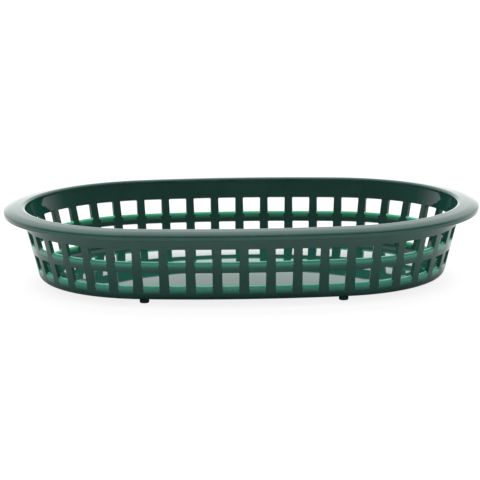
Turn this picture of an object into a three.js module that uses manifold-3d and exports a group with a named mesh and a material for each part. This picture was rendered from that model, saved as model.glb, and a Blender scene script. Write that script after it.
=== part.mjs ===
// Oval platter basket: a serving tray moulded in glossy dark green polypropylene. A sloping flange runs round
// the rim, the flared wall is an open lattice of upright ribs crossed by one middle ring, and a gently domed
// floor closes the bottom over four small feet.
// Millimetres, Z up. The origin is on the table under the middle of the floor, with X along the length.
// Sections are drawn as points of inset and height: the inset is measured inwards from the rim's outer edge.

import * as THREE from "three";
import { mergeVertices } from "three/addons/utils/BufferGeometryUtils.js";
import Module from "manifold-3d";

const wasm = await Module();
wasm.setup();

// Plan of the rim: two wide side arcs and two tight end arcs
const rimLength = 266.7;
const rimWidth = 177.8;
const sideArcRadius = 430;

// Heights above the table
const footHeight = 2.1;
const ribSeatHeight = 6.5;
const baseCrestHeight = 10.9;
const ringBottomHeight = 18.2;
const ringShoulderHeight = 21.5;
const ringCrestHeight = 25.3;
const bandBottomHeight = 31.7;
const rimSeamHeight = 38.1;
const rimHeight = 43.8;

// Wall: the outer face passes through this inset at this height and flares outwards above it
const wallInset = 14.7;
const wallInsetHeight = 22.3;
const wallFlare = 14.7;
const wallThickness = 2.4;
const windowHeadSlope = 0.9;
const innerShoulderDrop = 3.8;

// Ribs: widths at the outer face, measured at the height where the wall's inset is measured
const ribCount = 44;
const ribWidth = 5.2;
const ribSpreadPerHeight = 0.03;
const ribDraftPerDepth = 0.25;
const seamClearance = 0.1;

// Rim flange
const flangeThickness = 2.3;
const flangeDrop = 1.4;
const flangeCrown = 0.35;
const lipRadius = 1.2;
const lipHeight = 4.1;
const lipDraft = 0.4;
const lipThickness = 2;
const rimInnerRadius = 0.9;
const coveRadius = 1.6;

// Base and floor
const cornerRadius = 3.4;
const innerCornerRadius = 2.6;
const floorThickness = 2.2;
const floorStep = 2.7;
const floorCrown = 3.3;
const landWidth = 7;

// Feet
const footDiameter = 5.2;
const footChamfer = 0.5;
const footSpacing = 108;

// How finely the curves are divided
const facetsPerRib = 2;
const arcSteps = 3;
const innerShoulderSteps = 2;
const floorRingShares = [0.5, 0.94, 1];
const footFacets = 10;

// The oval
const halfLength = rimLength / 2;
const halfWidth = rimWidth / 2;
const endArcRadius =
  (2 * sideArcRadius * halfWidth - halfLength ** 2 - halfWidth ** 2) /
  (2 * (sideArcRadius - halfLength));
const sideArcOffset = sideArcRadius - halfWidth;
const endArcOffset = halfLength - endArcRadius;
const sideArcAngle = Math.asin(endArcOffset / (sideArcRadius - endArcRadius));
const endArcAngle = Math.PI / 2 - sideArcAngle;

// The point of the oval, drawn inwards by the inset, where the outward direction makes this angle with X.
function ovalPoint(angle, inset) {
  const outward = new THREE.Vector2(Math.cos(angle), Math.sin(angle));
  if (Math.abs(outward.x) < Math.sin(sideArcAngle)) {
    const centre = new THREE.Vector2(0, -Math.sign(outward.y) * sideArcOffset);
    return centre.addScaledVector(outward, sideArcRadius - inset);
  }
  const centre = new THREE.Vector2(Math.sign(outward.x) * endArcOffset, 0);
  return centre.addScaledVector(outward, endArcRadius - inset);
}

// The outward angle at a length along the rib line, which runs anticlockwise from the right-hand end.
const endArcLength = (endArcRadius - wallInset) * endArcAngle;
const sideArcLength = (sideArcRadius - wallInset) * sideArcAngle;
const quarterLength = endArcLength + sideArcLength;

function quarterAngle(length) {
  if (length <= endArcLength) return length / (endArcRadius - wallInset);
  return endArcAngle + (length - endArcLength) / (sideArcRadius - wallInset);
}

function outwardAngle(length) {
  const quarters = Math.floor(length / quarterLength);
  if (quarters % 2 === 0) return (quarters * Math.PI) / 2 + quarterAngle(length - quarters * quarterLength);
  return ((quarters + 1) * Math.PI) / 2 - quarterAngle((quarters + 1) * quarterLength - length);
}

// Every rib sits in the middle of one flat facet of the rings, and every window in the middle of the next.
const stationCount = ribCount * facetsPerRib;
const stationSpacing = (4 * quarterLength) / stationCount;
const stationAngles = Array.from({ length: stationCount }, (_, station) => {
  const length = (station - 0.5) * stationSpacing;
  return outwardAngle((length + 4 * quarterLength) % (4 * quarterLength));
});

// The wall's faces
const flareSlope = Math.tan(THREE.MathUtils.degToRad(wallFlare));
const flareCosine = Math.cos(THREE.MathUtils.degToRad(wallFlare));
const outerInset = (height) => wallInset + (wallInsetHeight - height) * flareSlope;
const innerInset = (height) => outerInset(height) + wallThickness / flareCosine;
const middleInset = (height) => (outerInset(height) + innerInset(height)) / 2;

// Points on a stretch of a circle between two angles in degrees, where 0 points inwards and 90 points up.
function arcPoints(centreInset, centreHeight, radius, startAngle, endAngle, steps = arcSteps) {
  return Array.from({ length: steps + 1 }, (_, step) => {
    const angle = THREE.MathUtils.degToRad(THREE.MathUtils.lerp(startAngle, endAngle, step / steps));
    return [centreInset + radius * Math.cos(angle), centreHeight + radius * Math.sin(angle)];
  });
}

// A quarter of an ellipse that climbs from a wall face at the shoulder to the crest in mid wall.
function shoulderPoints(faceInset, shoulderHeight, crestHeight, steps) {
  return Array.from({ length: steps }, (_, step) => {
    const angle = (step / steps) * (Math.PI / 2);
    const height = shoulderHeight + (crestHeight - shoulderHeight) * Math.sin(angle);
    const inset = THREE.MathUtils.lerp(middleInset(height), faceInset(height), Math.cos(angle));
    return [inset, height];
  });
}

// A closed section carried round the oval. Its points run anticlockwise with inset to the right, height up.
function hoopGeometry(section) {
  const positions = [];
  for (const angle of stationAngles) {
    for (const [inset, height] of section) {
      const point = ovalPoint(angle, inset);
      positions.push(point.x, point.y, height);
    }
  }
  const count = section.length;
  const indices = [];
  for (let station = 0; station < stationCount; station++) {
    const here = station * count;
    const next = ((station + 1) % stationCount) * count;
    for (let point = 0; point < count; point++) {
      const after = (point + 1) % count;
      indices.push(here + point, here + after, next + after);
      indices.push(here + point, next + after, next + point);
    }
  }
  const geometry = new THREE.BufferGeometry();
  geometry.setAttribute("position", new THREE.Float32BufferAttribute(positions, 3));
  geometry.setIndex(indices);
  return geometry;
}

// The flange with its downturned lip, and the top of the wall that carries it.
function rimGeometry() {
  const innerEdge = innerInset(rimHeight);
  const lipTop = rimHeight - flangeDrop;
  const lipBottom = lipTop - lipHeight;
  const topHeight = (inset) => {
    const share = (inset - lipRadius) / (innerEdge - lipRadius);
    return lipTop + flangeDrop * share + 4 * flangeCrown * share * (1 - share);
  };
  const crownPoint = (share) => {
    const inset = THREE.MathUtils.lerp(lipRadius, innerEdge - rimInnerRadius, share);
    return [inset, topHeight(inset)];
  };
  const underside = (inset) => [inset, topHeight(inset) - flangeThickness];
  const coveTop = underside(outerInset(rimHeight - flangeThickness) - coveRadius);
  return hoopGeometry([
    [outerInset(rimSeamHeight), rimSeamHeight],
    [innerInset(rimSeamHeight), rimSeamHeight],
    [innerInset(rimHeight - rimInnerRadius), rimHeight - rimInnerRadius],
    [innerEdge - rimInnerRadius * 0.3, rimHeight - rimInnerRadius * 0.3],
    ...[1, 0.5, 0].map(crownPoint),
    [lipRadius * 0.3, lipTop - lipRadius * 0.3],
    [0, lipTop - lipRadius],
    [lipDraft, lipBottom + lipThickness / 4],
    [lipDraft + lipThickness / 2, lipBottom],
    [lipDraft + lipThickness, lipBottom + lipThickness / 4],
    underside(lipDraft + lipThickness),
    ...arcPoints(coveTop[0], coveTop[1] - coveRadius, coveRadius, 90, 0, 2),
  ]);
}

// The plain band of wall under the rim. Its lower face is the head of every upper window.
function bandGeometry() {
  const innerBottom = bandBottomHeight + windowHeadSlope;
  return hoopGeometry([
    [outerInset(bandBottomHeight), bandBottomHeight],
    [innerInset(innerBottom), innerBottom],
    [innerInset(rimSeamHeight), rimSeamHeight],
    [outerInset(rimSeamHeight), rimSeamHeight],
  ]);
}

// The shoulders of the rings: each runs from a wall face up to just short of the crest.
const innerShoulder = (crest) => shoulderPoints(innerInset, crest - innerShoulderDrop, crest, innerShoulderSteps);
const outerShoulder = (start, crest) => shoulderPoints(outerInset, start, crest, arcSteps).reverse();
const ringInnerShoulder = innerShoulder(ringCrestHeight);
const ringCrest = [middleInset(ringCrestHeight), ringCrestHeight];

// The middle ring: a round-topped bar as thick as the wall, with pockets outside that the ribs lie in.
function middleRing() {
  const innerBottom = ringBottomHeight + windowHeadSlope;
  const hoop = toSolid(
    hoopGeometry([
      [outerInset(ringBottomHeight), ringBottomHeight],
      [innerInset(innerBottom), innerBottom],
      ...ringInnerShoulder,
      ringCrest,
      ...outerShoulder(ringShoulderHeight, ringCrestHeight),
    ]),
  );
  const pocket = [
    [middleInset(ringBottomHeight - 1) + seamClearance, ringBottomHeight - 1],
    [middleInset(ringCrestHeight + 1) + seamClearance, ringCrestHeight + 1],
    [outerInset(ringCrestHeight + 1) - 1, ringCrestHeight + 1],
    [outerInset(ringBottomHeight - 1) - 1, ringBottomHeight - 1],
  ];
  return cutAtRibs(hoop, pocket);
}

// The rounded corner between wall and underside, and the flat land that runs on inwards from it.
const cornerHeight = footHeight + cornerRadius;
const cornerInset = outerInset(cornerHeight) + cornerRadius / flareCosine;
const floorInset = cornerInset + landWidth;

// The base ring: wall foot, rounded corner and land, with a slot in its crest for every rib.
function baseRing() {
  const floorTop = footHeight + floorThickness;
  const innerCornerHeight = floorTop + innerCornerRadius;
  const innerCornerInset = innerInset(innerCornerHeight) + innerCornerRadius / flareCosine;
  const hoop = toSolid(
    hoopGeometry([
      ...arcPoints(cornerInset, cornerHeight, cornerRadius, 180 + wallFlare, 270),
      [floorInset, footHeight],
      [floorInset, floorTop],
      ...arcPoints(innerCornerInset, innerCornerHeight, innerCornerRadius, 270, 180 + wallFlare, 2),
      ...innerShoulder(baseCrestHeight),
      [middleInset(baseCrestHeight), baseCrestHeight],
      ...outerShoulder(ribSeatHeight, baseCrestHeight),
    ]),
  );
  const slot = [
    [innerInset(ribSeatHeight) + 1, ribSeatHeight],
    [innerInset(baseCrestHeight + 1) + 1, baseCrestHeight + 1],
    [outerInset(baseCrestHeight + 1) - 1, baseCrestHeight + 1],
    [outerInset(ribSeatHeight) - 1, ribSeatHeight],
  ];
  return cutAtRibs(hoop, slot);
}

// The floor: a thin panel of even thickness that steps up from the land and then rises in a gentle dome.
function floorGeometry() {
  const edge = stationAngles.map((angle) => ovalPoint(angle, floorInset));
  const positions = [];
  for (const bottom of [footHeight + floorThickness, footHeight]) {
    for (const share of floorRingShares) {
      const height = share < 1 ? bottom + floorStep + floorCrown * (1 - share ** 2) : bottom;
      for (const point of edge) positions.push(point.x * share, point.y * share, height);
    }
  }
  const top = 0;
  const ringCount = floorRingShares.length;
  const underside = ringCount * stationCount;
  const topCentre = 2 * underside;
  const undersideCentre = topCentre + 1;
  positions.push(0, 0, footHeight + floorThickness + floorStep + floorCrown);
  positions.push(0, 0, footHeight + floorStep + floorCrown);
  const indices = [];
  const quad = (a, b, c, d) => indices.push(a, b, c, a, c, d);
  for (let station = 0; station < stationCount; station++) {
    const next = (station + 1) % stationCount;
    indices.push(topCentre, top + station, top + next);
    indices.push(undersideCentre, underside + next, underside + station);
    for (let ring = 1; ring < ringCount; ring++) {
      const inner = (ring - 1) * stationCount;
      const outer = ring * stationCount;
      quad(top + inner + station, top + outer + station, top + outer + next, top + inner + next);
      quad(underside + inner + next, underside + outer + next, underside + outer + station, underside + inner + station);
    }
    const rimRow = (ringCount - 1) * stationCount;
    quad(underside + rimRow + station, underside + rimRow + next, top + rimRow + next, top + rimRow + station);
  }
  const geometry = new THREE.BufferGeometry();
  geometry.setAttribute("position", new THREE.Float32BufferAttribute(positions, 3));
  geometry.setIndex(indices);
  return geometry;
}

// The flat facet that a rib lies on: its middle and outward angle, and how far out a given inset lies there.
function ribPlace(index) {
  const start = stationAngles[index * facetsPerRib];
  const end = stationAngles[index * facetsPerRib + 1];
  const middle = (inset) => ovalPoint(start, inset).add(ovalPoint(end, inset)).multiplyScalar(0.5);
  const along = ovalPoint(end, wallInset).sub(ovalPoint(start, wallInset)).normalize();
  const outward = new THREE.Vector2(along.y, -along.x);
  const origin = middle(wallInset);
  return {
    origin,
    angle: Math.atan2(outward.y, outward.x),
    outwardAt: (inset) => middle(inset).sub(origin).dot(outward),
  };
}

// A bar with this section, as wide as a rib: wider towards the foot, and narrower towards the inner face.
function barGeometry(place, section, sideClearance = 0) {
  const outline = section.map(([inset, height]) => new THREE.Vector2(place.outwardAt(inset), height));
  const geometry = new THREE.ExtrudeGeometry(new THREE.Shape(outline), { depth: 2, bevelEnabled: false });
  geometry.translate(0, 0, -1);
  geometry.rotateX(Math.PI / 2);
  const position = geometry.getAttribute("position");
  for (let i = 0; i < position.count; i++) {
    const height = position.getZ(i);
    const depth = place.outwardAt(outerInset(height)) - position.getX(i);
    const width = ribWidth + (wallInsetHeight - height) * ribSpreadPerHeight - depth * ribDraftPerDepth;
    position.setY(i, Math.sign(position.getY(i)) * (width / 2 + sideClearance));
  }
  return geometry;
}

// A rib: the full thickness of the wall, seated in the base ring and notched inside where the ring passes.
function ribGeometry(place) {
  const outerTop = bandBottomHeight - seamClearance;
  const innerTop = outerTop + windowHeadSlope;
  const notchBottom = ringBottomHeight + windowHeadSlope - seamClearance;
  const notchMiddle = notchBottom - windowHeadSlope / 2;
  const lift = ([inset, height]) => [inset, height + seamClearance];
  return barGeometry(place, [
    [outerInset(ribSeatHeight), ribSeatHeight],
    [outerInset(outerTop), outerTop],
    [innerInset(innerTop), innerTop],
    ...ringInnerShoulder.map(lift),
    lift(ringCrest),
    [middleInset(notchMiddle), notchMiddle],
    [innerInset(notchBottom), notchBottom],
    [innerInset(ribSeatHeight), ribSeatHeight],
  ]);
}

// A foot: a low round stud with a chamfered edge, standing on its own origin.
function footGeometry() {
  const radius = footDiameter / 2;
  const profile = [
    new THREE.Vector2(0, 0),
    new THREE.Vector2(radius - footChamfer, 0),
    new THREE.Vector2(radius, footChamfer),
    new THREE.Vector2(radius, footHeight),
    new THREE.Vector2(0, footHeight),
  ];
  return new THREE.LatheGeometry(profile, footFacets).rotateX(Math.PI / 2);
}

// A closed geometry as a solid that can be cut.
function toSolid(geometry) {
  const plain = geometry.clone();
  plain.deleteAttribute("normal");
  plain.deleteAttribute("uv");
  const merged = mergeVertices(plain);
  return new wasm.Manifold(
    new wasm.Mesh({
      numProp: 3,
      vertProperties: merged.getAttribute("position").array,
      triVerts: new Uint32Array(merged.index.array),
    }),
  );
}

// The geometry of a solid.
function fromSolid(solid) {
  const mesh = solid.getMesh();
  const geometry = new THREE.BufferGeometry();
  geometry.setAttribute("position", new THREE.BufferAttribute(mesh.vertProperties, 3));
  geometry.setIndex(new THREE.BufferAttribute(mesh.triVerts, 1));
  return geometry;
}

// A ring with the same cut made at every rib, a little wider than the rib that goes there.
function cutAtRibs(ring, section) {
  let result = ring;
  for (const place of ribPlaces) {
    const cutter = barGeometry(place, section, seamClearance);
    cutter.rotateZ(place.angle);
    cutter.translate(place.origin.x, place.origin.y, 0);
    result = result.subtract(toSolid(cutter));
  }
  return fromSolid(result);
}

const ribPlaces = Array.from({ length: ribCount }, (_, index) => ribPlace(index));

const greenPlastic = new THREE.MeshStandardMaterial({ color: 0x1f4d3c, roughness: 0.22, metalness: 0 });

function namedMesh(name, geometry) {
  geometry.computeVertexNormals();
  const mesh = new THREE.Mesh(geometry, greenPlastic.clone());
  mesh.name = name;
  return mesh;
}

function lattice() {
  const group = new THREE.Group();
  group.add(namedMesh("middle_ring", middleRing()));
  ribPlaces.forEach((place, index) => {
    const number = String(index + 1).padStart(2, "0");
    const rib = namedMesh("rib_" + number, ribGeometry(place));
    rib.position.set(place.origin.x, place.origin.y, 0);
    rib.rotation.z = place.angle;
    group.add(rib);
  });
  return group;
}

function feet() {
  const group = new THREE.Group();
  const footLine = cornerInset + footDiameter / 2;
  for (const [side, sideName] of [[-1, "front"], [1, "back"]]) {
    for (const [end, endName] of [[-1, "left"], [1, "right"]]) {
      const x = (end * footSpacing) / 2;
      const angle = Math.acos(x / (sideArcRadius - footLine));
      const foot = namedMesh("foot_" + sideName + "_" + endName, footGeometry());
      foot.position.set(x, side * ovalPoint(angle, footLine).y, 0);
      group.add(foot);
    }
  }
  return group;
}

const basket = new THREE.Group();
basket.add(namedMesh("rim_flange", rimGeometry()));
basket.add(namedMesh("upper_band", bandGeometry()));
basket.add(lattice());
basket.add(namedMesh("base_ring", baseRing()));
basket.add(namedMesh("floor_panel", floorGeometry()));
basket.add(feet());

export default basket;
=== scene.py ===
import math

import bmesh
import bpy
from mathutils import Matrix, Vector


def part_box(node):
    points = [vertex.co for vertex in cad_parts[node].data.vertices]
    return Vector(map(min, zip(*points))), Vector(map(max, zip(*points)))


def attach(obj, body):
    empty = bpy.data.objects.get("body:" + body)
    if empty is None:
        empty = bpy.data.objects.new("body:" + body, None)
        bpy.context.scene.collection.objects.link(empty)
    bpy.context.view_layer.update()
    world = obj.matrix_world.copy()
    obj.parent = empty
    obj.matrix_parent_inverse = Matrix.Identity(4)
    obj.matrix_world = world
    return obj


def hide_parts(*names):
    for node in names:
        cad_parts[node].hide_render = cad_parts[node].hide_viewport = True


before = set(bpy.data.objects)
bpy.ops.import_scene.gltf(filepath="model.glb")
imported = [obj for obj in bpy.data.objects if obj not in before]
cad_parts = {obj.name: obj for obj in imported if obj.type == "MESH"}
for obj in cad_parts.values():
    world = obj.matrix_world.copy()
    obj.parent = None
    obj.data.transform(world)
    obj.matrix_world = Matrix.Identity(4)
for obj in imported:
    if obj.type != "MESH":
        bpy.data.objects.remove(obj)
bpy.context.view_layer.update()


# The tray: the domed floor, the rounded corner round it and the foot of the wall.
# The real basket is one injection moulding in glossy dark green polypropylene, and all its parts follow
# one oval of four arcs. Sizes are in millimetres, and insets run inwards from the rim's outer edge.

# The rim's oval, drawn no larger than the flat facets of the solids leave it
RIM_LENGTH = 266.46
RIM_WIDTH = 177.74
SIDE_ARC_RADIUS = 430.0
STEPS_PER_DEGREE_AT_ENDS = 0.5
STEPS_ALONG_A_SIDE = 48

HALF_LENGTH = RIM_LENGTH / 2
HALF_WIDTH = RIM_WIDTH / 2
END_ARC_RADIUS = (2 * SIDE_ARC_RADIUS * HALF_WIDTH - HALF_LENGTH**2 - HALF_WIDTH**2) / (
    2 * (SIDE_ARC_RADIUS - HALF_LENGTH)
)
SIDE_ARC_OFFSET = SIDE_ARC_RADIUS - HALF_WIDTH
END_ARC_OFFSET = HALF_LENGTH - END_ARC_RADIUS
SIDE_ARC_ANGLE = math.asin(END_ARC_OFFSET / (SIDE_ARC_RADIUS - END_ARC_RADIUS))
END_ARC_ANGLE = math.pi / 2 - SIDE_ARC_ANGLE

# The wall's outer face passes through this inset at this height and flares outwards above it
WALL_INSET = 14.7
WALL_INSET_HEIGHT = 22.3
WALL_SLOPE = math.tan(math.radians(14.7))
WALL_DEPTH = 2.48

TRAY_UNDERSIDE = 2.3
TRAY_OUTER_SEAM = 6.0
TRAY_INNER_SEAM = 7.0
TRAY_CORNER_CUT = 3.3
TRAY_FILLET_CUT = 3.0
FLOOR_THICKNESS = 2.2
FLOOR_EDGE_INSET = 28.7
STEP_SHARE = 0.07
STEP_RINGS = 8
DOME_TOP = 10.6
DOME_FALL = 6.0
DOME_LENGTH = 184.6
DOME_WIDTH = 130.0
DOME_POWER = 3
DOME_RINGS = 16

ROUNDING_STEPS = 5
SAME_PLACE = 0.001
SEAM_MARGIN = 0.1
SHARP_ANGLE = math.radians(60)
DEEP_GREEN = (0.0083, 0.07, 0.052, 1)
CLOUD_GREEN = (0.0103, 0.083, 0.063, 1)


def outer_inset(height):
    return WALL_INSET + (WALL_INSET_HEIGHT - height) * WALL_SLOPE


def inner_inset(height):
    return outer_inset(height) + WALL_DEPTH


def draw_section(bm, corners):
    """Draws the outline of a section at the right-hand tip. Each corner has an inset, a height and a cut,
    which is the length that rounding takes off both its sides."""
    points = [bm.verts.new((HALF_LENGTH - inset, 0, height)) for inset, height, cut in corners]
    bm.faces.new(points)
    cuts = [cut for inset, height, cut in corners]
    for point, cut in zip(points, cuts):
        if cut:
            bmesh.ops.bevel(
                bm,
                geom=[point],
                offset=cut,
                offset_type="OFFSET",
                affect="VERTICES",
                segments=ROUNDING_STEPS,
                profile=0.5,
                material=-1,
                clamp_overlap=False,
            )
    bmesh.ops.delete(bm, geom=list(bm.faces), context="FACES_ONLY")


def sweep_round_oval(bm):
    """Spins the drawn section about the centre of each arc in turn, anticlockwise from the right-hand
    tip."""
    end_steps = round(math.degrees(END_ARC_ANGLE) * STEPS_PER_DEGREE_AT_ENDS)
    arcs = (
        ((END_ARC_OFFSET, 0, 0), END_ARC_ANGLE, end_steps),
        ((0, -SIDE_ARC_OFFSET, 0), 2 * SIDE_ARC_ANGLE, STEPS_ALONG_A_SIDE),
        ((-END_ARC_OFFSET, 0, 0), 2 * END_ARC_ANGLE, 2 * end_steps),
        ((0, SIDE_ARC_OFFSET, 0), 2 * SIDE_ARC_ANGLE, STEPS_ALONG_A_SIDE),
        ((END_ARC_OFFSET, 0, 0), END_ARC_ANGLE, end_steps),
    )
    row = list(bm.verts) + list(bm.edges)
    for centre, angle, steps in arcs:
        made = bmesh.ops.spin(
            bm, geom=row, cent=centre, axis=(0, 0, 1), dvec=(0, 0, 0), angle=angle, steps=steps
        )
        row = made["geom_last"]
    bmesh.ops.remove_doubles(bm, verts=bm.verts, dist=SAME_PLACE)


def open_edges(bm, low, high):
    """The edges with one face only that lie between two heights, or hardly past them."""
    edges = []
    for edge in bm.edges:
        heights = [vert.co.z for vert in edge.verts]
        if edge.is_boundary and min(heights) > low - SEAM_MARGIN and max(heights) < high + SEAM_MARGIN:
            edges.append(edge)
    return edges


def dome_height(x, y):
    """The height of the floor's top: a dome, level in the middle, that falls more gently to its ends."""
    share = (x / DOME_LENGTH) ** 2 + (y / DOME_WIDTH) ** 2
    return DOME_TOP - DOME_FALL * (1 - (1 - share) ** DOME_POWER)


def draw_floor(bm, edges, edge_height, drop):
    """Carries an open edge inwards in shrinking ovals, up a soft step and over the dome to its middle. The
    drop is how far this face lies below the floor's top."""
    shares = [1 - STEP_SHARE * ring / STEP_RINGS for ring in range(STEP_RINGS + 1)]
    shares += [shares[-1] * (1 - ring / DOME_RINGS) for ring in range(1, DOME_RINGS)]
    for before, share in zip(shares, shares[1:]):
        made = bmesh.ops.extrude_edge_only(bm, edges=edges)["geom"]
        climb = min(1, (1 - share) / STEP_SHARE)
        climb = climb**2 * (3 - 2 * climb)
        for vert in made:
            if isinstance(vert, bmesh.types.BMVert):
                vert.co.x *= share / before
                vert.co.y *= share / before
                rise = dome_height(vert.co.x, vert.co.y) - drop - edge_height
                vert.co.z = edge_height + rise * climb
        edges = [item for item in made if isinstance(item, bmesh.types.BMEdge) and item.is_boundary]
    last_ring = dict.fromkeys(vert for edge in edges for vert in edge.verts)
    bmesh.ops.pointmerge(bm, verts=list(last_ring), merge_co=(0, 0, DOME_TOP - drop))


def finish_piece(name, bm, material, nodes):
    """Turns a mesh drawn in millimetres into a piece of the basket that stands for the named solids."""
    bmesh.ops.recalc_face_normals(bm, faces=bm.faces)
    bmesh.ops.scale(bm, verts=bm.verts, vec=(0.001, 0.001, 0.001))
    mesh = bpy.data.meshes.new(name)
    bm.to_mesh(mesh)
    bm.free()
    mesh.shade_smooth()
    mesh.set_sharp_from_angle(angle=SHARP_ANGLE)
    piece = bpy.data.objects.new(name, mesh)
    bpy.context.collection.objects.link(piece)
    mesh.materials.append(material)
    normals = piece.modifiers.new("Even shading", "WEIGHTED_NORMAL")
    normals.keep_sharp = True
    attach(piece, "root")
    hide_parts(*nodes)


def glossy_green():
    """Glossy polypropylene: deep green, faintly clouded by the way the melt flowed, with fine rubbed
    scratches, a slight waviness in its reflections and a fine grain. Light that comes through thin plastic
    is painted into its colour from an attribute of the lattice wall."""
    material = bpy.data.materials.new("glossy_green_polypropylene")
    material.use_nodes = True
    nodes = material.node_tree.nodes
    links = material.node_tree.links
    plastic = nodes["Principled BSDF"]
    plastic.inputs["IOR"].default_value = 1.49
    place = nodes.new("ShaderNodeTexCoord")

    # The clouded green of the plastic
    clouds = nodes.new("ShaderNodeTexNoise")
    clouds.inputs["Scale"].default_value = 38.0
    clouds.inputs["Detail"].default_value = 4.0
    clouds.inputs["Distortion"].default_value = 1.2
    body = nodes.new("ShaderNodeValToRGB")
    body.color_ramp.elements[0].position = 0.35
    body.color_ramp.elements[0].color = DEEP_GREEN
    body.color_ramp.elements[1].position = 0.68
    body.color_ramp.elements[1].color = CLOUD_GREEN
    links.new(place.outputs["Object"], clouds.inputs["Vector"])
    links.new(clouds.outputs["Fac"], body.inputs["Fac"])

    # Painted light: a brighter green for light that comes through thin plastic, painted into the colour
    # from an attribute that the lattice wall carries
    painted_glow = nodes.new("ShaderNodeAttribute")
    painted_glow.attribute_name = "painted_glow"
    with_painted_glow = nodes.new("ShaderNodeMix")
    with_painted_glow.data_type = "RGBA"
    with_painted_glow.blend_type = "ADD"
    with_painted_glow.inputs["Factor"].default_value = 1.0
    links.new(body.outputs["Color"], with_painted_glow.inputs["A"])
    links.new(painted_glow.outputs["Color"], with_painted_glow.inputs["B"])
    links.new(with_painted_glow.outputs["Result"], plastic.inputs["Base Color"])

    # Rubbed scratches, which are a little less glossy
    stretch = nodes.new("ShaderNodeMapping")
    stretch.inputs["Scale"].default_value = (60.0, 1400.0, 900.0)
    stretch.inputs["Rotation"].default_value = (0, 0, 0.4)
    scratches = nodes.new("ShaderNodeTexNoise")
    scratches.inputs["Scale"].default_value = 1.0
    scratches.inputs["Detail"].default_value = 3.0
    gloss = nodes.new("ShaderNodeMapRange")
    gloss.inputs["From Min"].default_value = 0.55
    gloss.inputs["From Max"].default_value = 0.8
    gloss.inputs["To Min"].default_value = 0.035
    gloss.inputs["To Max"].default_value = 0.1
    links.new(place.outputs["Object"], stretch.inputs["Vector"])
    links.new(stretch.outputs["Vector"], scratches.inputs["Vector"])
    links.new(scratches.outputs["Fac"], gloss.inputs["Value"])
    links.new(gloss.outputs["Result"], plastic.inputs["Roughness"])

    # The waviness of a moulded face
    waves = nodes.new("ShaderNodeTexNoise")
    waves.inputs["Scale"].default_value = 70.0
    waves.inputs["Detail"].default_value = 1.0
    wavy = nodes.new("ShaderNodeBump")
    wavy.inputs["Strength"].default_value = 0.04
    wavy.inputs["Distance"].default_value = 0.0004
    links.new(place.outputs["Object"], waves.inputs["Vector"])
    links.new(waves.outputs["Fac"], wavy.inputs["Height"])

    # The grain of the mould's steel
    grain = nodes.new("ShaderNodeTexNoise")
    grain.inputs["Scale"].default_value = 2200.0
    grain.inputs["Detail"].default_value = 2.0
    grained = nodes.new("ShaderNodeBump")
    grained.inputs["Strength"].default_value = 0.04
    grained.inputs["Distance"].default_value = 0.00004
    links.new(place.outputs["Object"], grain.inputs["Vector"])
    links.new(grain.outputs["Fac"], grained.inputs["Height"])
    links.new(wavy.outputs["Normal"], grained.inputs["Normal"])
    links.new(grained.outputs["Normal"], plastic.inputs["Normal"])
    return material


green_plastic = glossy_green()

floor_top = TRAY_UNDERSIDE + FLOOR_THICKNESS
tray = bmesh.new()
draw_section(
    tray,
    (
        (FLOOR_EDGE_INSET, TRAY_UNDERSIDE, 0),
        (FLOOR_EDGE_INSET, floor_top, 0),
        (inner_inset(floor_top), floor_top, TRAY_FILLET_CUT),
        (inner_inset(TRAY_INNER_SEAM), TRAY_INNER_SEAM, 0),
        (outer_inset(TRAY_OUTER_SEAM), TRAY_OUTER_SEAM, 0),
        (outer_inset(TRAY_UNDERSIDE), TRAY_UNDERSIDE, TRAY_CORNER_CUT),
    ),
)
floor_edge = [
    edge
    for edge in tray.edges
    if all(abs(HALF_LENGTH - vert.co.x - FLOOR_EDGE_INSET) < SAME_PLACE for vert in edge.verts)
]
bmesh.ops.delete(tray, geom=floor_edge, context="EDGES")
sweep_round_oval(tray)
for edge_height, drop in ((floor_top, 0), (TRAY_UNDERSIDE, FLOOR_THICKNESS)):
    draw_floor(tray, open_edges(tray, edge_height, edge_height), edge_height, drop)
finish_piece("tray_with_domed_floor", tray, green_plastic, ["base_ring", "floor_panel"])


# The feet: four low round studs of the same plastic, moulded under the tray's flat edge. They are rounded
# at the foot and flare a little where they meet the tray.

STUD_RADIUS = 2.6
STUD_ROUND = 0.6
STUD_FLARE = 0.5
STUD_TOP = 2.32
STUD_ROUNDING_STEPS = 4
STUD_SPIN_STEPS = 32

for node in ("foot_front_left", "foot_front_right", "foot_back_left", "foot_back_right"):
    low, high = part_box(node)
    middle = (low + high) / 2 * 1000
    stud = bmesh.new()
    profile = (
        (0, 0),
        (STUD_RADIUS, 0),
        (STUD_RADIUS, STUD_TOP - STUD_FLARE),
        (STUD_RADIUS + STUD_FLARE, STUD_TOP),
        (0, STUD_TOP),
    )
    points = [stud.verts.new((middle.x + radius, middle.y, height)) for radius, height in profile]
    stud.faces.new(points)
    bmesh.ops.bevel(
        stud,
        geom=[points[1]],
        offset=STUD_ROUND,
        offset_type="OFFSET",
        affect="VERTICES",
        segments=STUD_ROUNDING_STEPS,
        profile=0.5,
        material=-1,
    )
    bmesh.ops.delete(stud, geom=list(stud.faces), context="FACES_ONLY")
    middle_line = [
        edge for edge in stud.edges if all(abs(vert.co.x - middle.x) < SAME_PLACE for vert in edge.verts)
    ]
    bmesh.ops.delete(stud, geom=middle_line, context="EDGES")
    bmesh.ops.spin(
        stud,
        geom=list(stud.verts) + list(stud.edges),
        cent=(middle.x, middle.y, 0),
        axis=(0, 0, 1),
        dvec=(0, 0, 0),
        angle=2 * math.pi,
        steps=STUD_SPIN_STEPS,
        use_merge=True,
    )
    bmesh.ops.remove_doubles(stud, verts=stud.verts, dist=SAME_PLACE)
    finish_piece("stud_" + node.removeprefix("foot_"), stud, green_plastic, [node])


# The lattice wall: 44 upright ribs with two rows of windows between them, divided by one ring, all moulded
# in one with the tray and the rim. The windows stand on ledges that slope up inwards to a crest, and the
# thin plastic of a crest is painted a brighter green for the light that comes through it.

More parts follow.
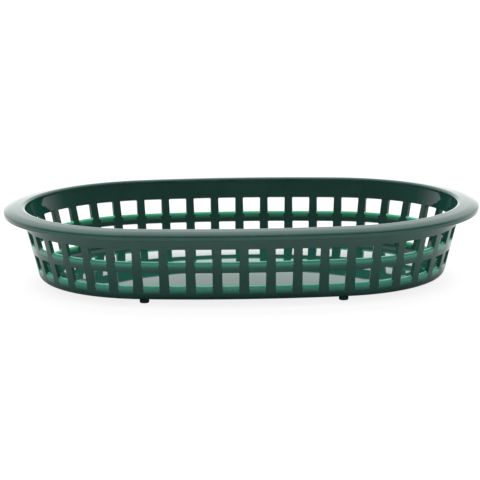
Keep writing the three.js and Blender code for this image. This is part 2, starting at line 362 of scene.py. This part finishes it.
RIB_COUNT = 44
RIB_WIDTH = 5.2
RIB_SPREAD_PER_HEIGHT = 0.03
RIB_DRAFT_PER_DEPTH = 0.25
RIM_SEAM = 38.1
RING_OUTER_SEAM = 21.0
RING_INNER_SEAM = 20.9

# The windows: their rounded edges and corners, and the ledge that each one stands on
EDGE_ROUND = 0.35
HEAD_RISE = 0.9
OUTER_CORNER_RADIUS = 0.5
INNER_LOW_RADIUS = 1.3
INNER_HIGH_RADIUS = 0.6
CORNER_STEPS = 4
CREST_DEPTH = 1.9
SILL_SLOPE = 0.22
INNER_FALL = 1.6
WINDOW_DEPTHS = (0, 0.05, 0.2, 0.5, 0.9, 1.4, CREST_DEPTH, 2.1, 2.28, 2.42, WALL_DEPTH)
CROSSING_SHARES = (0.5, 0, -0.5)
BAY_JOIN_DISTANCE = 0.01

# Painted light: the colours painted in for the light that thin plastic lets through. On the outer face it
# grows up each ledge between two heights
OUTER_PAINTED_GLOW = Vector((0.055, 0.32, 0.21))
INNER_PAINTED_GLOW = Vector((0.16, 0.95, 0.5))
SIDE_PAINTED_GLOW = Vector((0.004, 0.035, 0.018))
INNER_PAINTED_GLOW_POWER = 1.8
BASE_LEDGE_PAINTED_GLOW = {"from": 6.0, "full": 8.9, "to": 10.9, "power": 1.3}
RING_LEDGE_PAINTED_GLOW = {"from": 18.4, "full": 23.1, "to": 25.1, "power": 3.2}

LOWER_WINDOW = {
    "border_below": (TRAY_OUTER_SEAM, TRAY_INNER_SEAM),
    "crest": 10.6,
    "shoulder": (1.6, 1.3),
    "head": 18.2,
    "border_above": (RING_OUTER_SEAM, RING_INNER_SEAM),
}
UPPER_WINDOW = {
    "border_below": (RING_OUTER_SEAM, RING_INNER_SEAM),
    "crest": 24.5,
    "shoulder": (1.0, 1.4),
    "head": 31.7,
    "border_above": (RIM_SEAM, RIM_SEAM),
}

end_arc_length = (END_ARC_RADIUS - WALL_INSET) * END_ARC_ANGLE
side_arc_length = (SIDE_ARC_RADIUS - WALL_INSET) * SIDE_ARC_ANGLE
quarter_length = end_arc_length + side_arc_length
rib_spacing = 4 * quarter_length / RIB_COUNT
window_half_width = (rib_spacing - RIB_WIDTH) / 2


def outward_angle(length):
    """The outward direction at a length along the rib line, anticlockwise from the right-hand tip."""
    quarters = math.floor(length / quarter_length)
    along = length - quarters * quarter_length
    if quarters % 2:
        along = quarter_length - along
    if along <= end_arc_length:
        angle = along / (END_ARC_RADIUS - WALL_INSET)
    else:
        angle = END_ARC_ANGLE + (along - end_arc_length) / (SIDE_ARC_RADIUS - WALL_INSET)
    if quarters % 2:
        return (quarters + 1) * math.pi / 2 - angle
    return quarters * math.pi / 2 + angle


def on_side_arc(angle):
    return abs(math.cos(angle)) < math.sin(SIDE_ARC_ANGLE)


def oval_point(angle, inset):
    """The point of the oval, drawn inwards by the inset, that faces in this direction."""
    if on_side_arc(angle):
        reach = SIDE_ARC_RADIUS - inset
        back = -math.copysign(SIDE_ARC_OFFSET, math.sin(angle))
        return reach * math.cos(angle), back + reach * math.sin(angle)
    reach = END_ARC_RADIUS - inset
    aside = math.copysign(END_ARC_OFFSET, math.cos(angle))
    return aside + reach * math.cos(angle), reach * math.sin(angle)


def wrap_round_oval(point):
    """Moves a point of the wall drawn flat, at a length, an inset and a height, to its place round the
    oval. The ribs keep their true width at every height, and the windows take up the rest."""
    length, inset, height = point
    rib = round(length / rib_spacing)
    aside = length - rib * rib_spacing
    arc_radius = SIDE_ARC_RADIUS if on_side_arc(outward_angle(rib * rib_spacing)) else END_ARC_RADIUS
    stretch = (arc_radius - WALL_INSET) / (arc_radius - inset)
    half_rib = RIB_WIDTH / 2
    if abs(aside) <= half_rib:
        shifted = aside * stretch
    else:
        room = rib_spacing / 2 - half_rib
        new_room = rib_spacing / 2 - half_rib * stretch
        shifted = math.copysign(half_rib * stretch + (abs(aside) - half_rib) * new_room / room, aside)
    angle = outward_angle(rib * rib_spacing + shifted)
    return Vector((*oval_point(angle, inset), height))


def side_growth(depth):
    """How much wider a window is at this depth, where its outer and inner edges are rounded."""
    from_face = min(depth, WALL_DEPTH - depth)
    if from_face >= EDGE_ROUND:
        return 0
    return EDGE_ROUND * (1 - math.sqrt(1 - (1 - from_face / EDGE_ROUND) ** 2))


def sill_height(window, depth):
    """The top that the window stands on. It climbs gently inwards from a rounded outer shoulder to a crest
    near the inner face, where it rounds down."""
    if depth > CREST_DEPTH:
        share = (depth - CREST_DEPTH) / (WALL_DEPTH - CREST_DEPTH)
        return window["crest"] - INNER_FALL * (1 - math.sqrt(max(0, 1 - share**2)))
    shoulder_depth, shoulder_fall = window["shoulder"]
    share = max(0, 1 - depth / shoulder_depth)
    slope_fall = SILL_SLOPE * (CREST_DEPTH - depth)
    return window["crest"] - slope_fall - shoulder_fall * (1 - math.sqrt(1 - share**2))


def window_outline(window, depth):
    """The outline of a window at a depth in the wall, anticlockwise from the lower right corner."""
    bottom = sill_height(window, depth)
    fallen = (window["crest"] - bottom) / INNER_FALL if depth > CREST_DEPTH else 0
    low_radius = OUTER_CORNER_RADIUS + (INNER_LOW_RADIUS - OUTER_CORNER_RADIUS) * fallen
    high_radius = OUTER_CORNER_RADIUS + (INNER_HIGH_RADIUS - OUTER_CORNER_RADIUS) * fallen
    top = window["head"] + HEAD_RISE * depth / WALL_DEPTH + side_growth(depth)

    def half_width(height):
        rib = RIB_WIDTH + (WALL_INSET_HEIGHT - height) * RIB_SPREAD_PER_HEIGHT - depth * RIB_DRAFT_PER_DEPTH
        return (rib_spacing - rib) / 2 + side_growth(depth)

    right_half = []
    for step in range(CORNER_STEPS + 1):
        angle = math.radians(-90 + 90 * step / CORNER_STEPS)
        height = bottom + low_radius * (1 + math.sin(angle))
        right_half.append((half_width(height) - low_radius * (1 - math.cos(angle)), height))
    middle = (bottom + top) / 2
    right_half.append((half_width(middle), middle))
    for step in range(CORNER_STEPS + 1):
        angle = math.radians(90 * step / CORNER_STEPS)
        height = top - high_radius * (1 - math.sin(angle))
        right_half.append((half_width(height) - high_radius * (1 - math.cos(angle)), height))
    return closed_outline(right_half, top, bottom)


def window_border(window, face):
    """The edge of the panel of wall that belongs to a window, on the wall's outer face, which is 0, or its
    inner face, which is 1. It has a point for each point of the window's outline."""
    below = window["border_below"][face]
    above = window["border_above"][face]
    bottom = sill_height(window, face * WALL_DEPTH)
    top = window["head"] + HEAD_RISE * face
    post = rib_spacing / 2
    half_post = (window_half_width + post) / 2
    right_half = [
        (window_half_width, below),
        (half_post, below),
        (post, below),
        (post, (below + bottom) / 2),
        (post, bottom),
        (post, (bottom + top) / 2),
        (post, top),
        (post, (top + above) / 2),
        (post, above),
        (half_post, above),
        (window_half_width, above),
    ]
    return closed_outline(right_half, above, below)


def closed_outline(right_half, top, bottom):
    """Adds the points along the top, the mirrored left half and the points along the bottom."""
    along_top = [(share * window_half_width, top) for share in CROSSING_SHARES]
    left_half = [(-along, height) for along, height in reversed(right_half)]
    along_bottom = [(share * window_half_width, bottom) for share in reversed(CROSSING_SHARES)]
    return right_half + along_top + left_half + along_bottom


def next_loop(bm, loop, points):
    """Extrudes a closed loop of edges, and moves each new point to its place."""
    edges = [bm.edges.get((loop[i - 1], loop[i])) for i in range(len(loop))]
    made = bmesh.ops.extrude_edge_only(bm, edges=edges)["geom"]
    new = {item for item in made if isinstance(item, bmesh.types.BMVert)}
    ordered = []
    for vert in loop:
        neighbours = [edge.other_vert(vert) for edge in vert.link_edges]
        ordered.append(next(neighbour for neighbour in neighbours if neighbour in new))
    for vert, point in zip(ordered, points):
        vert.co = point
    return ordered


def paint_glow_on_face(face, painted_glow, number, depth, window):
    """Paints light into the plastic's colour where light comes through it. The painted light is teal and
    fades down the outer face, is a brighter green near the crest inside, and is faint on the other ways
    through the wall. Faces are numbered along the window's outline, and number 0 is the last one of the
    bottom."""
    side_points = 2 * (CORNER_STEPS + 1) + 1
    left_end = 2 * side_points + len(CROSSING_SHARES) - 1
    on_sill = number == 0 or number > left_end
    in_corner = number <= CORNER_STEPS or number > left_end - CORNER_STEPS
    near_sill = on_sill or (in_corner and 0 < depth < WALL_DEPTH)
    on_head = side_points <= number <= side_points + len(CROSSING_SHARES)
    for point in face.loops:
        height = point.vert.co.z
        light = Vector((0, 0, 0))
        if depth < CREST_DEPTH and (near_sill or (on_head and depth == 0)):
            for ledge in (BASE_LEDGE_PAINTED_GLOW, RING_LEDGE_PAINTED_GLOW):
                if ledge["from"] < height < ledge["to"]:
                    share = (height - ledge["from"]) / (ledge["full"] - ledge["from"])
                    light = OUTER_PAINTED_GLOW * min(1, share ** ledge["power"])
        elif depth > CREST_DEPTH and near_sill:
            from_crest = abs(window["crest"] - height)
            light = INNER_PAINTED_GLOW * max(0, 1 - from_crest / (2 * INNER_FALL)) ** INNER_PAINTED_GLOW_POWER
        elif 0 < depth < WALL_DEPTH:
            light = SIDE_PAINTED_GLOW * (1 - abs(2 * depth / WALL_DEPTH - 1))
        point[painted_glow] = (*light, 1)


def draw_window(bm, painted_glow, window):
    """Draws one window with its share of the wall: the outer face, the way through and the inner face."""

    def placed(outline, depth):
        return [(along, outer_inset(height) + depth, height) for along, height in outline]

    loop = [bm.verts.new(point) for point in placed(window_border(window, 0), 0)]
    for i in range(len(loop)):
        bm.edges.new((loop[i - 1], loop[i]))
    rows = [(loop, 0)]
    for depth in WINDOW_DEPTHS:
        loop = next_loop(bm, loop, placed(window_outline(window, depth), depth))
        rows.append((loop, depth))
    loop = next_loop(bm, loop, placed(window_border(window, 1), WALL_DEPTH))
    rows.append((loop, WALL_DEPTH))
    # Each face of the window is painted with the light that comes through the plastic there
    for (outer_loop, outer_depth), (inner_loop, inner_depth) in zip(rows, rows[1:]):
        depth = (outer_depth + inner_depth) / 2
        for i in range(len(loop)):
            face = bm.faces.get((outer_loop[i - 1], outer_loop[i], inner_loop[i], inner_loop[i - 1]))
            paint_glow_on_face(face, painted_glow, i, depth, window)


wall = bmesh.new()
# A colour attribute that carries the painted light of thin plastic
painted_glow_layer = wall.loops.layers.float_color.new("painted_glow")
for window in (LOWER_WINDOW, UPPER_WINDOW):
    draw_window(wall, painted_glow_layer, window)
bmesh.ops.translate(wall, verts=wall.verts, vec=(rib_spacing / 2, 0, 0))
first_bay = list(wall.verts) + list(wall.edges) + list(wall.faces)
for bay in range(1, RIB_COUNT):
    copied = bmesh.ops.duplicate(wall, geom=first_bay)["geom"]
    copied_verts = [item for item in copied if isinstance(item, bmesh.types.BMVert)]
    bmesh.ops.translate(wall, verts=copied_verts, vec=(bay * rib_spacing, 0, 0))
for vert in wall.verts:
    vert.co = wrap_round_oval(vert.co)
bmesh.ops.remove_doubles(wall, verts=wall.verts, dist=BAY_JOIN_DISTANCE)
# The faces that join the bays to the tray and the rim get no painted light
for seam in (LOWER_WINDOW["border_below"], UPPER_WINDOW["border_above"]):
    seam_edges = open_edges(wall, min(seam), max(seam))
    for face in bmesh.ops.bridge_loops(wall, edges=seam_edges)["faces"]:
        for point in face.loops:
            point[painted_glow_layer] = (0, 0, 0, 1)
lattice_nodes = ["upper_band", "middle_ring"] + [f"rib_{number:02d}" for number in range(1, RIB_COUNT + 1)]
finish_piece("lattice_wall", wall, green_plastic, lattice_nodes)


# The rim: a flange on the top of the wall that slopes down outwards to a downturned lip, moulded in the
# same plastic. Its top is crowned, with a small bead along the inner edge, and its edges are rounded.
# Each point is an inset, a height and the length that its rounding takes off.

BEAD_FOOT_HEIGHT = 41.2
BEAD_TOP = (12.2, 42.85, 0.5)
FLANGE_INNER = (10.8, 43.6, 0.9)
FLANGE_CREST = (7.5, 43.35, 2.0)
FLANGE_BEND = (3.4, 42.9, 2.0)
LIP_TOP = (0, 41.6, 1.0)
LIP_FOOT_OUTSIDE = (0.4, 38.55, 0.7)
LIP_FOOT_INSIDE = (2.4, 38.55, 0.7)
LIP_ROOT = (2.4, 40.2, 0.7)
FLANGE_ROOT_HEIGHT = 41.45
FLANGE_ROOT_SINK = 0.2
FLANGE_ROOT_CUT = 1.6

rim = bmesh.new()
draw_section(
    rim,
    (
        (outer_inset(RIM_SEAM), RIM_SEAM, 0),
        (inner_inset(RIM_SEAM), RIM_SEAM, 0),
        (inner_inset(BEAD_FOOT_HEIGHT), BEAD_FOOT_HEIGHT, 0),
        BEAD_TOP,
        FLANGE_INNER,
        FLANGE_CREST,
        FLANGE_BEND,
        LIP_TOP,
        LIP_FOOT_OUTSIDE,
        LIP_FOOT_INSIDE,
        LIP_ROOT,
        (outer_inset(FLANGE_ROOT_HEIGHT), FLANGE_ROOT_HEIGHT - FLANGE_ROOT_SINK, FLANGE_ROOT_CUT),
    ),
)
sweep_round_oval(rim)
finish_piece("sloping_rim_flange", rim, green_plastic, ["rim_flange"])


# The table: matt white paint that keeps the basket's soft shadow. The open table away from the basket is
# plain white to the camera and in reflections, and near the basket the plastic mirrors the shaded paint.

TABLE_SIZE = 8.0
TABLE_PAINT = (0.8, 0.8, 0.8, 1)
BACKGROUND_PAINT = (0.22, 0.22, 0.22, 1)
BACKGROUND_LEVEL = 0.85
OVAL_SHARES = (0.67, 1, 0)
NEAR_TABLE = 0.12
OPEN_TABLE = 0.22

table_mesh = bmesh.new()
bmesh.ops.create_grid(table_mesh, x_segments=1, y_segments=1, size=TABLE_SIZE / 2)
table_data = bpy.data.meshes.new("table")
table_mesh.to_mesh(table_data)
table_mesh.free()
table = bpy.data.objects.new("table", table_data)
bpy.context.collection.objects.link(table)


def combined(tree, operation, first, second):
    """One number made of two by a Math node."""
    joined = tree.nodes.new("ShaderNodeMath")
    joined.operation = operation
    tree.links.new(first, joined.inputs[0])
    tree.links.new(second, joined.inputs[1])
    return joined.outputs["Value"]


def white_table():
    """Paint that takes the light, mixed with a whiter one for the camera and for mirrored or refracted rays
    that meet the open table. The distance from the basket is measured in the oval's own proportions."""
    material = bpy.data.materials.new("white_table")
    material.use_nodes = True
    tree = material.node_tree
    nodes = tree.nodes
    links = tree.links
    nodes.remove(nodes["Principled BSDF"])
    paint = nodes.new("ShaderNodeBsdfDiffuse")
    paint.inputs["Color"].default_value = TABLE_PAINT
    paler = nodes.new("ShaderNodeBsdfDiffuse")
    paler.inputs["Color"].default_value = BACKGROUND_PAINT
    lift = nodes.new("ShaderNodeEmission")
    lift.inputs["Strength"].default_value = BACKGROUND_LEVEL
    white = nodes.new("ShaderNodeAddShader")
    links.new(paler.outputs["BSDF"], white.inputs[0])
    links.new(lift.outputs["Emission"], white.inputs[1])

    place = nodes.new("ShaderNodeTexCoord")
    oval = nodes.new("ShaderNodeVectorMath")
    oval.operation = "MULTIPLY"
    oval.inputs[1].default_value = OVAL_SHARES
    away = nodes.new("ShaderNodeVectorMath")
    away.operation = "LENGTH"
    open_table = nodes.new("ShaderNodeMapRange")
    open_table.inputs["From Min"].default_value = NEAR_TABLE
    open_table.inputs["From Max"].default_value = OPEN_TABLE
    links.new(place.outputs["Object"], oval.inputs[0])
    links.new(oval.outputs["Vector"], away.inputs[0])
    links.new(away.outputs["Value"], open_table.inputs["Value"])

    rays = nodes.new("ShaderNodeLightPath")
    mirrored = combined(tree, "MAXIMUM", rays.outputs["Is Glossy Ray"], rays.outputs["Is Transmission Ray"])
    mirrored_open = combined(tree, "MULTIPLY", mirrored, open_table.outputs["Result"])
    choice = nodes.new("ShaderNodeMixShader")
    links.new(combined(tree, "MAXIMUM", rays.outputs["Is Camera Ray"], mirrored_open), choice.inputs["Fac"])
    links.new(paint.outputs["BSDF"], choice.inputs[1])
    links.new(white.outputs["Shader"], choice.inputs[2])
    links.new(choice.outputs["Shader"], nodes["Material Output"].inputs["Surface"])
    return material


table_data.materials.append(white_table())


# The studio round the table: white overhead and behind the basket, brightest low behind it, and a dimmer
# room in front and at the sides, with one soft lamp overhead.

ROOM_LEVEL = 0.22
WHITE = (1, 1, 1, 1)
LAMP_PLACE = Vector((0.0, 0.6, 1.4))
LAMP_SIZE = (2.0, 1.0)
LAMP_POWER = 17.5


def studio_world():
    """Plain white to the camera and through clear things. Reflections and light meet the studio, where
    the white overhead and behind is as bright as the table's white or a little brighter."""
    world = bpy.data.worlds.new("studio")
    world.use_nodes = True
    tree = world.node_tree
    nodes = tree.nodes
    links = tree.links
    direction = nodes.new("ShaderNodeTexCoord")

    def toward(axis, far, near, level_far, level_near):
        """A level that changes as the direction leans from far to near, as cosines, to the axis."""
        lean = nodes.new("ShaderNodeVectorMath")
        lean.operation = "DOT_PRODUCT"
        lean.inputs[1].default_value = axis
        level = nodes.new("ShaderNodeMapRange")
        level.inputs["From Min"].default_value = far
        level.inputs["From Max"].default_value = near
        level.inputs["To Min"].default_value = level_far
        level.inputs["To Max"].default_value = level_near
        links.new(direction.outputs["Generated"], lean.inputs[0])
        links.new(lean.outputs["Value"], level.inputs["Value"])
        return level.outputs["Result"]

    overhead = toward(axis=(0, 0.3, 0.954), far=0.46, near=0.6, level_far=ROOM_LEVEL, level_near=1.0)
    behind = toward(axis=(0, 1, 0), far=0.05, near=0.5, level_far=ROOM_LEVEL, level_near=1.15)
    low_behind = toward(axis=(0, 0.985, -0.17), far=0.86, near=0.99, level_far=1.0, level_near=1.6)
    level = combined(tree, "MULTIPLY", combined(tree, "MAXIMUM", overhead, behind), low_behind)
    room = nodes["Background"]
    room.inputs["Color"].default_value = WHITE
    white = nodes.new("ShaderNodeBackground")
    white.inputs["Color"].default_value = WHITE
    rays = nodes.new("ShaderNodeLightPath")
    seen = combined(tree, "MAXIMUM", rays.outputs["Is Camera Ray"], rays.outputs["Is Transmission Ray"])
    choice = nodes.new("ShaderNodeMixShader")
    links.new(level, room.inputs["Strength"])
    links.new(seen, choice.inputs["Fac"])
    links.new(room.outputs["Background"], choice.inputs[1])
    links.new(white.outputs["Background"], choice.inputs[2])
    links.new(choice.outputs["Shader"], nodes["World Output"].inputs["Surface"])
    return world


bpy.context.scene.world = studio_world()

# The plastic doesn't mirror the lamp itself, because the white overhead already stands for it there.
lamp = bpy.data.lights.new("overhead_softbox", "AREA")
lamp.shape = "RECTANGLE"
lamp.size, lamp.size_y = LAMP_SIZE
lamp.energy = LAMP_POWER
softbox = bpy.data.objects.new("overhead_softbox", lamp)
softbox.location = LAMP_PLACE
softbox.rotation_mode = "QUATERNION"
softbox.rotation_quaternion = (-LAMP_PLACE).to_track_quat("-Z", "Y")
softbox.visible_glossy = False
bpy.context.collection.objects.link(softbox)


# The camera: low in front of the basket, with a long lens, turned and tilted by less than a degree.

FOCAL_LENGTH = 203.4
SENSOR_WIDTH = 36.0
CAMERA_DISTANCE = 1.525
CAMERA_ELEVATION = math.radians(11.3)
CAMERA_AZIMUTH = math.radians(-0.895)
CAMERA_ROLL = math.radians(-0.672)
CAMERA_TARGET = Vector((-0.00092, 0, 0.02177))

back = Vector(
    (
        math.sin(CAMERA_AZIMUTH) * math.cos(CAMERA_ELEVATION),
        -math.cos(CAMERA_AZIMUTH) * math.cos(CAMERA_ELEVATION),
        math.sin(CAMERA_ELEVATION),
    )
)
level_right = (-back).cross(Vector((0, 0, 1))).normalized()
level_up = level_right.cross(-back)
right = math.cos(CAMERA_ROLL) * level_right + math.sin(CAMERA_ROLL) * level_up
up = -math.sin(CAMERA_ROLL) * level_right + math.cos(CAMERA_ROLL) * level_up
camera_turn = Matrix((right, up, back)).transposed().to_4x4()
camera_data = bpy.data.cameras.new("camera")
camera_data.lens = FOCAL_LENGTH
camera_data.sensor_width = SENSOR_WIDTH
camera = bpy.data.objects.new("camera", camera_data)
camera.matrix_world = Matrix.Translation(CAMERA_TARGET + back * CAMERA_DISTANCE) @ camera_turn
bpy.context.collection.objects.link(camera)
bpy.context.scene.camera = camera

bpy.context.scene.view_settings.view_transform = "Standard"
